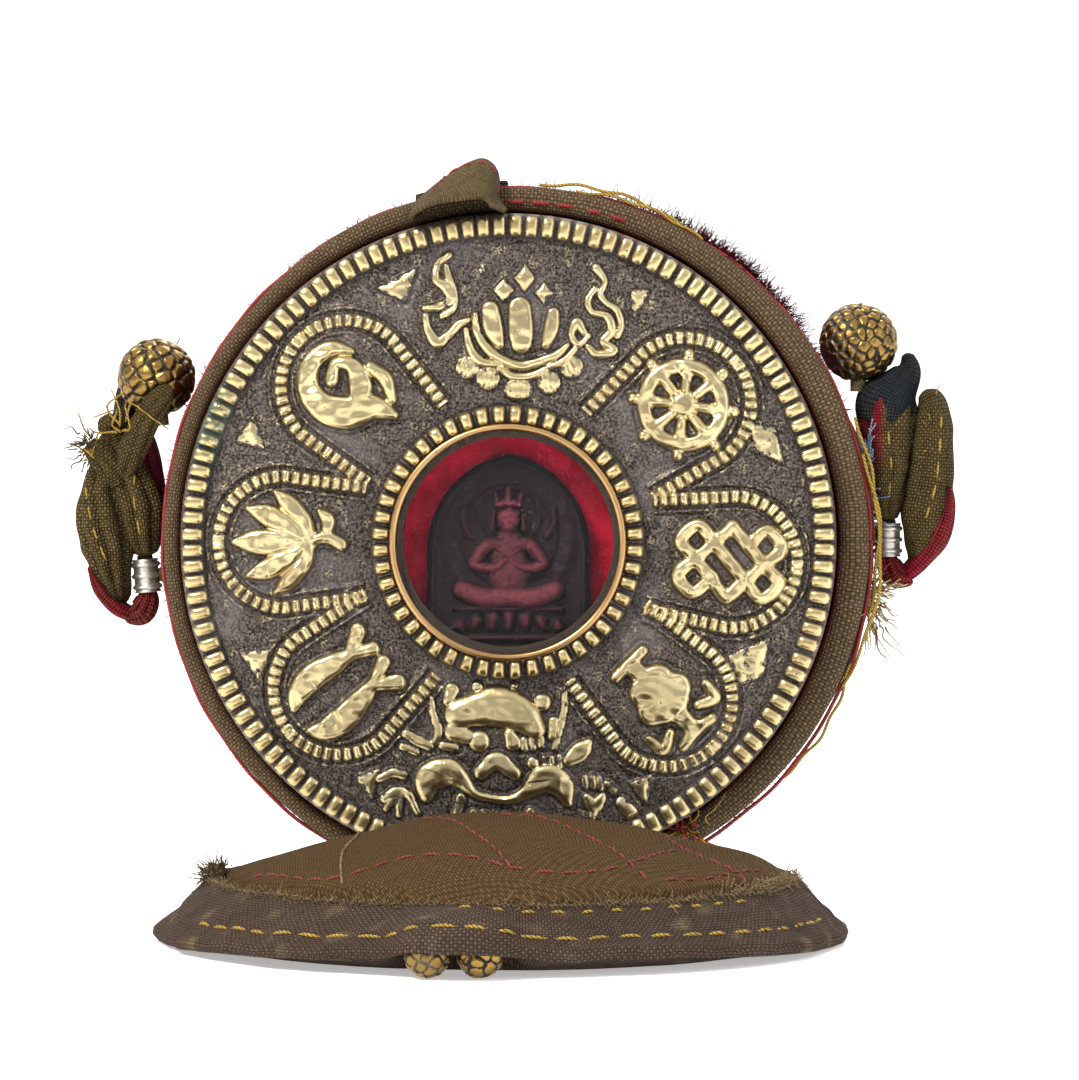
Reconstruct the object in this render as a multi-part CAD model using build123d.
"""Round amulet box with a glass window, in its padded cloth carrying case.

Row frame, millimetres: +Z up, the window faces -Y, and +X is to the viewer's right. The origin is the
middle of the narrow flat on which the case stands. Pieces that turn round the axis of the box or of the
case are drawn about local +Z (towards the viewer) and then stood upright by stand_case or stand_box.
"""

import os
from math import cos, radians, sin, sqrt

from build123d import *

# The metal box: two copper shells, one sliding over the lip of the other.
box_radius = 60.0
sheet_metal = 0.8
box_sits_left = 1.0
shell_front = 26.0
shell_seam = 6.0
seam_gap = 0.3
lip_length = 5.0
lip_root = 3.0
lip_clearance = 0.08

# The embossed face plate and what is soldered to it.
field_outer = 55.6
field_inner = 25.2
field_rise = 1.2
rim_wire = 2.1
petal_count = 8
petal_centre = 42.8
petal_round = 12.6
petal_root = 8.6
petal_wire = 1.5
petal_height = 1.4
boss_radius = 6.0
emblem_width = 15.0
emblem_height = 19.0

# The window.
glass_radius = 20.6
glass_edge = 1.6
glass_crown = 3.6
bezel_width = 4.4
bezel_height = 3.2
clip_thickness = 1.0
glass_fit = 0.1

# What the box holds.
tablet_width = 30.0
tablet_height = 37.0
tablet_thickness = 5.0
tablet_drop = 2.5
glass_to_tablet = 1.0
backing_radius = 30.0
backing_thickness = 1.2
packing_clearance = 0.6
roll_radius = 6.0
roll_length = 78.0
roll_pitch = 17.0
roll_count = 3
tie_radius = 0.6
tie_offset = 18.0

# The cloth case.
lining_thickness = 0.8
felt_thickness = 2.2
velvet_thickness = 1.2
box_clearance = 1.3
case_half_depth = 17.7
piping_radius = 1.85
piping_stand_off = 2.3
back_cloth = 1.2
foot_sink = 0.5
edging_radius = 0.4

# The loop on top that catches the buttons of the flap.
loop_centre = -10.0
loop_width = 17.0
loop_cloth = 1.4
anchor_thickness = 1.2
anchor_depth = 10.0

# The flap and the cloth leaf that joins it to the case.
flap_radius = 57.5
flap_edge_radius = 49.0
flap_edge_height = 11.0
flap_crown = 6.0
flap_cloth = 1.5
flap_hinge_y = -40.5
flap_hinge_z = 9.0
hinge_gap = 0.6
hinge_tab_width = 40.0
hinge_tab_cloth = 1.6
leaf_cloth = 1.6
leaf_width = 38.0
leaf_height = 2.4
leaf_hinge_gap = 0.8
leaf_hinge_y = -23.1

# The two small ball buttons on the edge of the flap.
flap_ball_radius = 3.9
flap_ball_pitch = 8.2
flap_ball_centre = -6.4
flap_ball_reach = 1.3
tuck_margin = 1.3
flap_stem_radius = 0.8
stem_clearance = 0.06

# The strap at each side: ferrule, folded cloth and large ball button.
strap_width = 13.0
strap_front = 8.0
ferrule_radius = 2.5
ferrule_bore = 1.75
ferrule_length = 6.2
ferrule_rib = 0.35
ferrule_rib_length = 1.0
ferrule_stand_off = 3.8
neck_clearance = 0.05
side_ball_radius = 7.5
side_ball_x = 63.8
side_ball_y = 36.6
side_stem_radius = 1.5
stem_depth = 3.0
strap_top = 27.6
left_strap_turn = 5.6

# Worked out from the values above.
lining_inner = box_radius + box_clearance
felt_inner = lining_inner + lining_thickness
velvet_inner = felt_inner + felt_thickness
case_radius = velvet_inner + velvet_thickness
axis_height = case_radius - foot_sink
piping_centre = lining_inner + piping_radius - 0.05
piping_offset = case_half_depth + piping_stand_off
back_of_lining = -(case_half_depth - 2.5)
box_back = back_of_lining + 0.4
plate_back = shell_front - sheet_metal


def stand_case(shape):
    """Turns local +Z to the front and lifts the shape to the axis of the case."""
    return Pos(0, 0, axis_height) * Rot(90, 0, 0) * shape


def stand_box(shape):
    """As stand_case, for the metal box, which sits a little left in its soft case."""
    return Pos(-box_sits_left, 0, 0) * stand_case(shape)


def disc(radius, low, high):
    """Round plate about local Z from low to high."""
    return Pos(0, 0, low) * Cylinder(radius, high - low, align=(Align.CENTER, Align.CENTER, Align.MIN))


def tube(outer, inner, low, high):
    """Tube about local Z from low to high."""
    return disc(outer, low, high) - disc(inner, low - 1, high + 1)


def turned(*edges):
    """Solid of revolution about local Z from the edges of a closed outline drawn in the XZ plane."""
    return revolve(make_face(Wire(edges)), Axis.Z)


def plate_of(points, low, high, rounding=0.0):
    """Plate of constant thickness from a closed outline of (x, y) corners, rounded in its own plane."""
    face = make_face(Polyline(*points, close=True))
    if rounding:
        face = fillet(face.vertices(), rounding)
    return Pos(0, 0, low) * extrude(face, high - low, dir=(0, 0, 1))


# ---------------------------------------------------------------- metal box


def front_shell():
    return stand_box(tube(box_radius, box_radius - sheet_metal, shell_seam, plate_back))


def back_cup():
    """Rear half: a cup with a lip that slides inside the front shell."""
    wall = tube(box_radius, box_radius - sheet_metal, box_back, shell_seam - seam_gap)
    floor = disc(box_radius, box_back, box_back + sheet_metal)
    lip_radius = box_radius - sheet_metal - lip_clearance
    lip = tube(lip_radius, lip_radius - sheet_metal, shell_seam - lip_root, shell_seam + lip_length)
    joint = tube(box_radius - 0.2, lip_radius - sheet_metal, shell_seam - lip_root, shell_seam - seam_gap)
    return stand_box(wall + floor + lip + joint)


def petal_outline(margin):
    """Petal pointing along +X: straight sides that open outwards into a round end."""
    half_root = petal_root - margin
    radius = petal_round - margin
    sides = Polygon(
        (field_inner, half_root), (field_inner, -half_root),
        (petal_centre, -radius), (petal_centre, radius), align=None,
    )
    return sides + Pos(petal_centre, 0) * Circle(radius)


def front_plate():
    """Embossed face: a slightly domed ring with petal borders, bosses and two emblems."""
    top = shell_front + field_rise
    middle = (field_inner + field_outer) / 2
    bow = field_rise * 0.7
    inner_edge = glass_radius + glass_fit
    plate = turned(
        Line((inner_edge, 0, plate_back), (inner_edge, 0, top)),
        Line((inner_edge, 0, top), (field_inner, 0, top)),
        ThreePointArc((field_inner, 0, top), (middle, 0, shell_front + bow), (field_outer, 0, shell_front)),
        Line((field_outer, 0, shell_front), (box_radius, 0, shell_front)),
        Line((box_radius, 0, shell_front), (box_radius, 0, plate_back)),
        Line((box_radius, 0, plate_back), (inner_edge, 0, plate_back)),
    )
    relief_top = top + petal_height
    border = petal_outline(0) - petal_outline(petal_wire)
    ring = Circle(field_outer) - Circle(field_inner)
    for i in range(petal_count):
        angle = 45 * i + 90
        if i % 4:
            plate += extrude(Pos(0, 0, plate_back) * Rot(0, 0, angle) * border & Pos(0, 0, plate_back) * ring,
                             relief_top - plate_back)
            plate += Rot(0, 0, angle) * Pos(petal_centre - 3, 0, 0) * disc(boss_radius, plate_back, relief_top)
        else:
            emblem = Pos(0, 0, plate_back) * Rot(0, 0, angle) * Pos(petal_centre - 2, 0) * Ellipse(
                emblem_height / 2, emblem_width / 2)
            plate += extrude(emblem, relief_top - plate_back)
    return stand_box(plate)


def rim_beading():
    """Half-round wire soldered round the edge of the face."""
    centre = box_radius - rim_wire - 0.1
    wire = Pos(0, 0, shell_front) * Torus(centre, rim_wire)
    return stand_box(wire & tube(box_radius, field_inner, shell_front, shell_front + 2 * rim_wire))


def bezel_base():
    return shell_front + field_rise


def window_bezel():
    """Ring that holds the glass: a raised collar with a small lip over its edge."""
    outer = glass_radius + bezel_width
    base = bezel_base()
    collar = tube(outer, glass_radius + glass_fit, base, base + bezel_height)
    lip = tube(outer, glass_radius - 0.5, base + glass_edge + 0.7, base + bezel_height)
    ring = chamfer(collar.edges().filter_by(GeomType.CIRCLE).group_by(Axis.Z)[-1].sort_by(SortBy.RADIUS)[-1], 1.4)
    return stand_box(ring + lip - glass_body(glass_fit))


def glass_body(grow=0.0):
    """Plano-convex lens: a short cylinder under a cap of a sphere."""
    base = bezel_base()
    radius = glass_radius + grow
    crown = glass_crown - glass_edge + grow
    sphere = (radius**2 + crown**2) / (2 * crown)
    cap = Pos(0, 0, base + glass_edge + crown - sphere) * Sphere(sphere)
    return disc(radius, base, base + glass_edge + crown + 1) & (cap + disc(radius, base, base + glass_edge))


def window_glass():
    return stand_box(glass_body())


def glass_clip():
    """Flat ring behind the glass that keeps it in the face plate."""
    high = plate_back
    return stand_box(tube(glass_radius + bezel_width, glass_radius - 1.4, high - clip_thickness, high))


def glass_packer():
    """Soft ring between the clip and the glass, inside the hole of the plate."""
    return stand_box(tube(glass_radius, glass_radius - 1.4, plate_back, bezel_base()))


def tablet_front():
    return plate_back - clip_thickness - glass_to_tablet


def tablet():
    """Moulded clay tablet with a pointed arch and a low seated figure."""
    half = tablet_width / 2
    shoulder = tablet_height * 0.52
    foot = -tablet_height / 2
    outline = make_face(Wire([
        Line((-half, foot), (half, foot)),
        Line((half, foot), (half, foot + shoulder)),
        ThreePointArc((half, foot + shoulder), (half * 0.72, foot + shoulder + 11), (0, -foot)),
        ThreePointArc((0, -foot), (-half * 0.72, foot + shoulder + 11), (-half, foot + shoulder)),
        Line((-half, foot + shoulder), (-half, foot)),
    ]))
    back = tablet_front() - tablet_thickness
    slab = Pos(0, -tablet_drop, back) * extrude(outline, tablet_thickness - 2.0)
    figure = Pos(0, -tablet_drop - 6, back + tablet_thickness - 2.2) * Sphere(9.0)
    head = Pos(0, -tablet_drop + 6, back + tablet_thickness - 2.2) * Sphere(4.2)
    relief = (figure + head) & disc(tablet_height, back, tablet_front())
    return stand_box(slab + relief)


def backing_cloth():
    high = tablet_front() - tablet_thickness
    return stand_box(disc(backing_radius, high - backing_thickness, high))


def roll_places():
    """Centres of the paper rolls, one above the other, in the packing."""
    middle = (tablet_front() - tablet_thickness - backing_thickness + box_back) / 2
    return [(roll_pitch * (i - (roll_count - 1) / 2), middle) for i in range(roll_count)]


def lying(shape, height, depth):
    """Lays a shape drawn about local Z across the box."""
    return Pos(0, height, depth) * Rot(0, 90, 0) * shape


def prayer_rolls():
    """Sheets of printed paper, each wound on itself with a hollow core."""
    roll = tube(roll_radius, 1.2, -roll_length / 2, roll_length / 2)
    return Compound([stand_box(lying(roll, *place)) for place in roll_places()])


def roll_ties():
    """Two turns of thread round each roll."""
    ties = []
    for place in roll_places():
        for end in (-tie_offset, tie_offset):
            band = tube(roll_radius + tie_radius, roll_radius, end - tie_radius, end + tie_radius)
            ties.append(stand_box(lying(band, *place)))
    return Compound(ties)


def packing():
    """Cotton wadding that fills the cup behind the tablet, hollowed for the rolls."""
    front = tablet_front() - tablet_thickness - backing_thickness
    lip_inside = box_radius - 2 * sheet_metal - lip_clearance - packing_clearance
    pad = disc(lip_inside, box_back + sheet_metal + 0.2, front)
    for place in roll_places():
        hollow = disc(roll_radius + tie_radius, -roll_length / 2, roll_length / 2)
        pad -= lying(hollow, *place)
    return stand_box(pad)


# --------------------------------------------------------------- cloth case


def case_velvet():
    """Outer cover of the wall, pressed flat where the case stands."""
    wall = stand_case(tube(case_radius, velvet_inner, -case_half_depth, case_half_depth))
    under_floor = Pos(0, 0, -10) * Box(60, 80, 20)
    return wall - under_floor


def case_felt():
    return stand_case(tube(velvet_inner, felt_inner, -case_half_depth, case_half_depth))


def case_lining():
    """Inner lining of the wall with its round bottom."""
    wall = tube(felt_inner, lining_inner, back_of_lining - lining_thickness, case_half_depth)
    bottom = disc(felt_inner, back_of_lining - lining_thickness, back_of_lining)
    return stand_case(wall + bottom)


def back_board():
    """Felt board that stiffens the back."""
    return stand_case(disc(felt_inner, -piping_offset + back_cloth - 0.3, back_of_lining - lining_thickness)
                      - tube(case_radius, lining_inner - 0.1, -30, -case_half_depth))


def back_cover():
    """Cotton cover sewn over the board, inside the rear piping."""
    high = -piping_offset + back_cloth - 0.3
    return stand_case(disc(lining_inner - 0.1, high - back_cloth, high))


def piping(side):
    """Rolled cotton binding on the front or rear edge."""
    return stand_case(Pos(0, 0, side * piping_offset) * Torus(piping_centre, piping_radius))


def red_edging():
    """Thin red cord laid in the groove between the front piping and the velvet."""
    radius = case_radius - velvet_thickness + 0.15
    return stand_case(Pos(0, 0, case_half_depth + edging_radius + 0.1) * Torus(radius, edging_radius))


# ------------------------------------------------- loop on top of the case


def loop_anchor():
    """Cloth patch that sews the loop to the top of the case."""
    patch = stand_case(tube(case_radius + anchor_thickness, case_radius, 1.0, 1.0 + anchor_depth))
    return patch & Pos(loop_centre, 0, axis_height + case_radius) * Box(loop_width, 60, 30)


def loop_level():
    """Height of the case's top below the loop, where the loop is clear of the anchor."""
    reach = abs(loop_centre) - loop_width / 2
    return axis_height + sqrt((case_radius + anchor_thickness) ** 2 - reach**2)


def closure_loop():
    """Doubled strip that rises from the anchor, arches forward and folds back under itself."""
    base = loop_level()
    outside = [
        (-7.6, base + 0.4), (-9.0, base + 2.6), (-15.0, base + 3.4), (-26.0, base + 3.2),
        (-31.6, base + 0.6), (-33.8, base - 3.2), (-33.2, base - 5.2), (-31.4, base - 5.4),
        (-26.5, base - 3.6), (-23.4, base - 0.3), (-15.0, base + 0.4),
    ]
    inside = [
        (-10.0, base + 1.5), (-15.0, base + 2.0), (-25.6, base + 1.8), (-30.6, base - 0.4),
        (-32.3, base - 3.9), (-31.6, base - 4.0), (-27.2, base - 2.6), (-24.4, base + 1.0), (-15.0, base + 1.7),
    ]
    ring = Polyline(*[(0, y, z) for y, z in outside], close=True)
    hollow = Polyline(*[(0, y, z) for y, z in inside], close=True)
    body = extrude(make_face(ring), loop_width, dir=(1, 0, 0)) - extrude(make_face(hollow), loop_width, dir=(1, 0, 0))
    return Pos(loop_centre - loop_width / 2, 0, 0) * body


# ----------------------------------------------------------------- the flap


def flap_middle():
    """Distance from the fold of the flap to its centre, so that it closes over the box's window."""
    return axis_height - flap_hinge_z


def lay_flap(shape):
    """Puts a shape drawn about the flap's centre, standing on z = 0, in front of the case."""
    return Pos(0, flap_hinge_y - flap_middle(), 0) * shape


def flap_cone(inset, low):
    """Body of the flap: wide at the bottom, narrow at the seam of the lining."""
    slope = (flap_radius - flap_edge_radius) / flap_edge_height
    bottom = flap_radius - slope * low - inset
    top = flap_edge_radius - inset
    height = flap_edge_height - low
    return Pos(0, 0, low) * Cone(bottom, top, height, align=(Align.CENTER, Align.CENTER, Align.MIN))


def flap_cap(sink):
    """Crowned top above the seam: a cap of a large sphere."""
    crown = flap_crown
    sphere = (flap_edge_radius**2 + crown**2) / (2 * crown)
    ball = Pos(0, 0, flap_edge_height + crown - sphere - sink) * Sphere(sphere)
    return ball & disc(flap_edge_radius - sink, flap_edge_height, flap_edge_height + crown)


def flap_ball_place():
    """Centre of the flap buttons in the row frame: on the floor under the flap's far edge."""
    return flap_hinge_y - flap_middle() - flap_radius + flap_ball_reach, flap_ball_radius


def flap_ball_xs():
    return [flap_ball_centre + side * flap_ball_pitch / 2 for side in (-1, 1)]


def tuck(margin):
    """Hollow pressed into the edge of the flap by the buttons."""
    y, z = flap_ball_place()
    length = flap_ball_pitch + 2 * flap_ball_radius + 2 * margin
    return Pos(flap_ball_centre, y, z) * Rot(0, 90, 0) * Cylinder(flap_ball_radius + margin, length)


def behind_fold(margin):
    """Half-space behind the fold of the flap."""
    return Pos(0, flap_hinge_y - hinge_gap - margin + 100, 0) * Box(300, 200, 100)


def flap_cover():
    """Felt cover: flat outside, sloped edge, and a tab along the fold."""
    body = lay_flap(flap_cone(0, 0)) - tuck(tuck_margin) - behind_fold(0)
    stuffing = lay_flap(flap_cone(flap_cloth, flap_cloth)) - tuck(tuck_margin + flap_cloth) - behind_fold(flap_cloth)
    tab_length = flap_middle() - flap_edge_radius + 2.0
    tab = Pos(0, flap_hinge_y - hinge_gap - tab_length / 2, flap_hinge_z - 0.4) * Box(
        hinge_tab_width, tab_length, hinge_tab_cloth)
    return body + tab - stuffing


def flap_padding():
    """Wadding between the cover and the lining."""
    core = lay_flap(flap_cone(flap_cloth, flap_cloth)) - tuck(tuck_margin + flap_cloth) - behind_fold(flap_cloth)
    return core + lay_flap(flap_cap(flap_cloth))


def flap_lining():
    """Cotton lining, bulged by the wadding and sewn down along its edge."""
    return lay_flap(flap_cap(0) - flap_cap(flap_cloth))


def flap_ball(x):
    """Hollow brass button, closed but for the hole that takes its thread stem."""
    y, z = flap_ball_place()
    ball = Pos(x, y, z) * Sphere(flap_ball_radius)
    hole = Pos(x, y + flap_ball_radius / 2 + 0.5, z) * Rot(90, 0, 0) * Cylinder(
        flap_stem_radius + stem_clearance, flap_ball_radius + 1)
    return ball - hole


def flap_stems():
    """Thread-wound stems between the flap's edge and its buttons."""
    y, z = flap_ball_place()
    start = y + 1.0
    end = y + flap_ball_radius + tuck_margin
    stems = []
    for x in flap_ball_xs():
        stem = Pos(x, (start + end) / 2 + 0.3, z) * Rot(90, 0, 0) * Cylinder(flap_stem_radius, end - start + 0.6)
        stems.append(stem & tuck(tuck_margin))
    return Compound(stems)


def hinge_leaf():
    """Cloth leaf from the lower edge of the case to the fold of the flap, turned up at its front."""
    half = leaf_cloth / 2
    rear = leaf_hinge_y - leaf_hinge_gap
    front = flap_hinge_y + hinge_gap
    top = flap_hinge_z - hinge_gap
    outline = Polyline(
        (0, rear, leaf_height - half), (0, front - half, leaf_height - half), (0, front - half, top),
        (0, front + half, top), (0, front + half, leaf_height + half), (0, rear, leaf_height + half), close=True,
    )
    return Pos(-leaf_width / 2, 0, 0) * extrude(make_face(outline), leaf_width, dir=(1, 0, 0))


# --------------------------------------------------------- straps at the sides


def place_side(shape, side):
    """Stands a right-hand strap piece up, or mirrors it to the left, where the strap sits a little lower."""
    if side == "right":
        return stand_case(shape)
    return stand_case(Rot(0, 0, left_strap_turn) * mirror(shape, Plane.YZ))


def strap_span(inset=0.0):
    return strap_front - strap_width / 2 + inset, strap_front + strap_width / 2 - inset


def ferrule_x():
    return case_radius + ferrule_stand_off


def upright(shape):
    """Turns a shape drawn about local Z to run up the side of the case through the ferrule."""
    return Pos(ferrule_x(), 0, strap_front) * Rot(-90, 0, 0) * shape


def ferrule(side):
    """Short silver tube with three ribs."""
    half = ferrule_length / 2
    body = tube(ferrule_radius, ferrule_bore, -half, half)
    for low in (-half, -ferrule_rib_length / 2, half - ferrule_rib_length):
        body += tube(ferrule_radius + ferrule_rib, ferrule_bore, low, low + ferrule_rib_length)
    return place_side(upright(body), side)


def ferrule_tab(side):
    """Cotton tab that sews the ferrule to the wall of the case."""
    tab = Pos(case_radius + ferrule_stand_off / 2, 0, strap_front) * Box(ferrule_stand_off + 1, 3.0, 7.0)
    tab -= disc(case_radius, -50, 50)
    tab -= upright(disc(ferrule_radius + ferrule_rib, -9, 9))
    return place_side(tab, side)


def strap_inner(side):
    """Inner end of the strap, spreading from the ferrule up to the button."""
    x = ferrule_x()
    foot = ferrule_length / 2 + 0.3
    low, high = strap_span()
    outline = [
        (x - 2.4, foot), (x + 2.0, foot), (x + 5.1, 12.0), (x + 5.3, 24.0), (x + 2.2, strap_top),
        (x - 7.9, strap_top), (x - 5.7, 20.0), (x - 3.4, 11.0),
    ]
    return place_side(plate_of(outline, low, high, 1.0), side)


def strap_neck(side):
    """Gathered cloth inside the ferrule, and the turn below it."""
    x = ferrule_x()
    half = ferrule_length / 2
    core = upright(disc(ferrule_bore - neck_clearance, -half - 1.0, half + 0.3))
    turn = plate_of(
        [(x - 1.8, -half - 0.2), (x + 1.9, -half - 0.2), (x + 3.2, -6.0), (x + 2.0, -8.4), (x - 1.2, -6.8)],
        strap_front - 4, strap_front + 4, 0.6,
    )
    return place_side(core + turn, side)


def strap_outer(side):
    """Outer length of the strap, folded up against the inner one and ending beside the button."""
    x = ferrule_x()
    low, high = strap_span()
    outline = [
        (x + 3.9, -5.4), (x + 9.0, -2.8), (x + 11.6, 4.6), (x + 11.9, 14.0), (x + 10.3, 24.0), (x + 6.5, 31.0),
        (x + 2.6, 32.6), (x + 3.0, 29.6), (x + 5.9, 25.5), (x + 5.8, 12.0), (x + 3.5, 3.6), (x + 3.7, -3.2),
    ]
    return place_side(plate_of(outline, low, high, 0.8), side)


def side_ball(side):
    """Hollow brass button with the hole for its thread stem."""
    ball = Pos(side_ball_x, side_ball_y, strap_front) * Sphere(side_ball_radius)
    mouth = side_ball_y - side_ball_radius
    hole = Pos(side_ball_x, mouth + stem_depth / 2, strap_front) * Rot(90, 0, 0) * Cylinder(
        side_stem_radius + stem_clearance, stem_depth + 1)
    return place_side(ball - hole, side)


def side_stem(side):
    """Thread-wound stem standing on the top of the inner strap."""
    top = side_ball_y - side_ball_radius + stem_depth - 0.4
    stem = Pos(side_ball_x, (strap_top + top) / 2, strap_front) * Rot(90, 0, 0) * Cylinder(
        side_stem_radius, top - strap_top)
    return place_side(stem, side)


# ------------------------------------------------------------------- export

parts = {
    "front_shell": front_shell(),
    "back_cup": back_cup(),
    "front_plate": front_plate(),
    "rim_beading": rim_beading(),
    "window_bezel": window_bezel(),
    "window_glass": window_glass(),
    "glass_clip": glass_clip(),
    "glass_packer": glass_packer(),
    "tablet": tablet(),
    "backing_cloth": backing_cloth(),
    "packing": packing(),
    "prayer_rolls": prayer_rolls(),
    "roll_ties": roll_ties(),
    "case_velvet": case_velvet(),
    "case_felt": case_felt(),
    "case_lining": case_lining(),
    "back_board": back_board(),
    "back_cover": back_cover(),
    "front_piping": piping(1),
    "rear_piping": piping(-1),
    "red_edging": red_edging(),
    "loop_anchor": loop_anchor(),
    "closure_loop": closure_loop(),
    "hinge_leaf": hinge_leaf(),
    "flap_cover": flap_cover(),
    "flap_padding": flap_padding(),
    "flap_lining": flap_lining(),
    "flap_stems": flap_stems(),
}
for name, x in zip(("flap_button_left", "flap_button_right"), flap_ball_xs()):
    parts[name] = flap_ball(x)
for side in ("left", "right"):
    parts[f"ferrule_{side}"] = ferrule(side)
    parts[f"ferrule_tab_{side}"] = ferrule_tab(side)
    parts[f"strap_inner_{side}"] = strap_inner(side)
    parts[f"strap_neck_{side}"] = strap_neck(side)
    parts[f"strap_outer_{side}"] = strap_outer(side)
    parts[f"side_button_{side}"] = side_ball(side)
    parts[f"side_stem_{side}"] = side_stem(side)

os.makedirs("parts", exist_ok=True)
for name, shape in parts.items():
    export_step(shape, f"parts/{name}.step")

turn = radians(left_strap_turn)
hinge = (ferrule_x() + 3.6, -5.6)
left_hinge = (-hinge[0] * cos(turn) - hinge[1] * sin(turn), -hinge[0] * sin(turn) + hinge[1] * cos(turn))
print("axis height", axis_height, "case radius", case_radius)
print("right strap hinge", hinge[0], -strap_front, hinge[1] + axis_height)
print("left strap hinge", left_hinge[0], -strap_front, left_hinge[1] + axis_height)
left_ball = (
    -side_ball_x * cos(turn) - side_ball_y * sin(turn),
    -side_ball_x * sin(turn) + side_ball_y * cos(turn) + axis_height,
)
print("left ball", left_ball, "right ball", (side_ball_x, side_ball_y + axis_height))
print("flap balls", flap_ball_xs(), flap_ball_place())
print("flap fold", flap_hinge_y, flap_hinge_z, "leaf fold", leaf_hinge_y, leaf_height)
print("loop base", loop_level(), "box back", box_back)
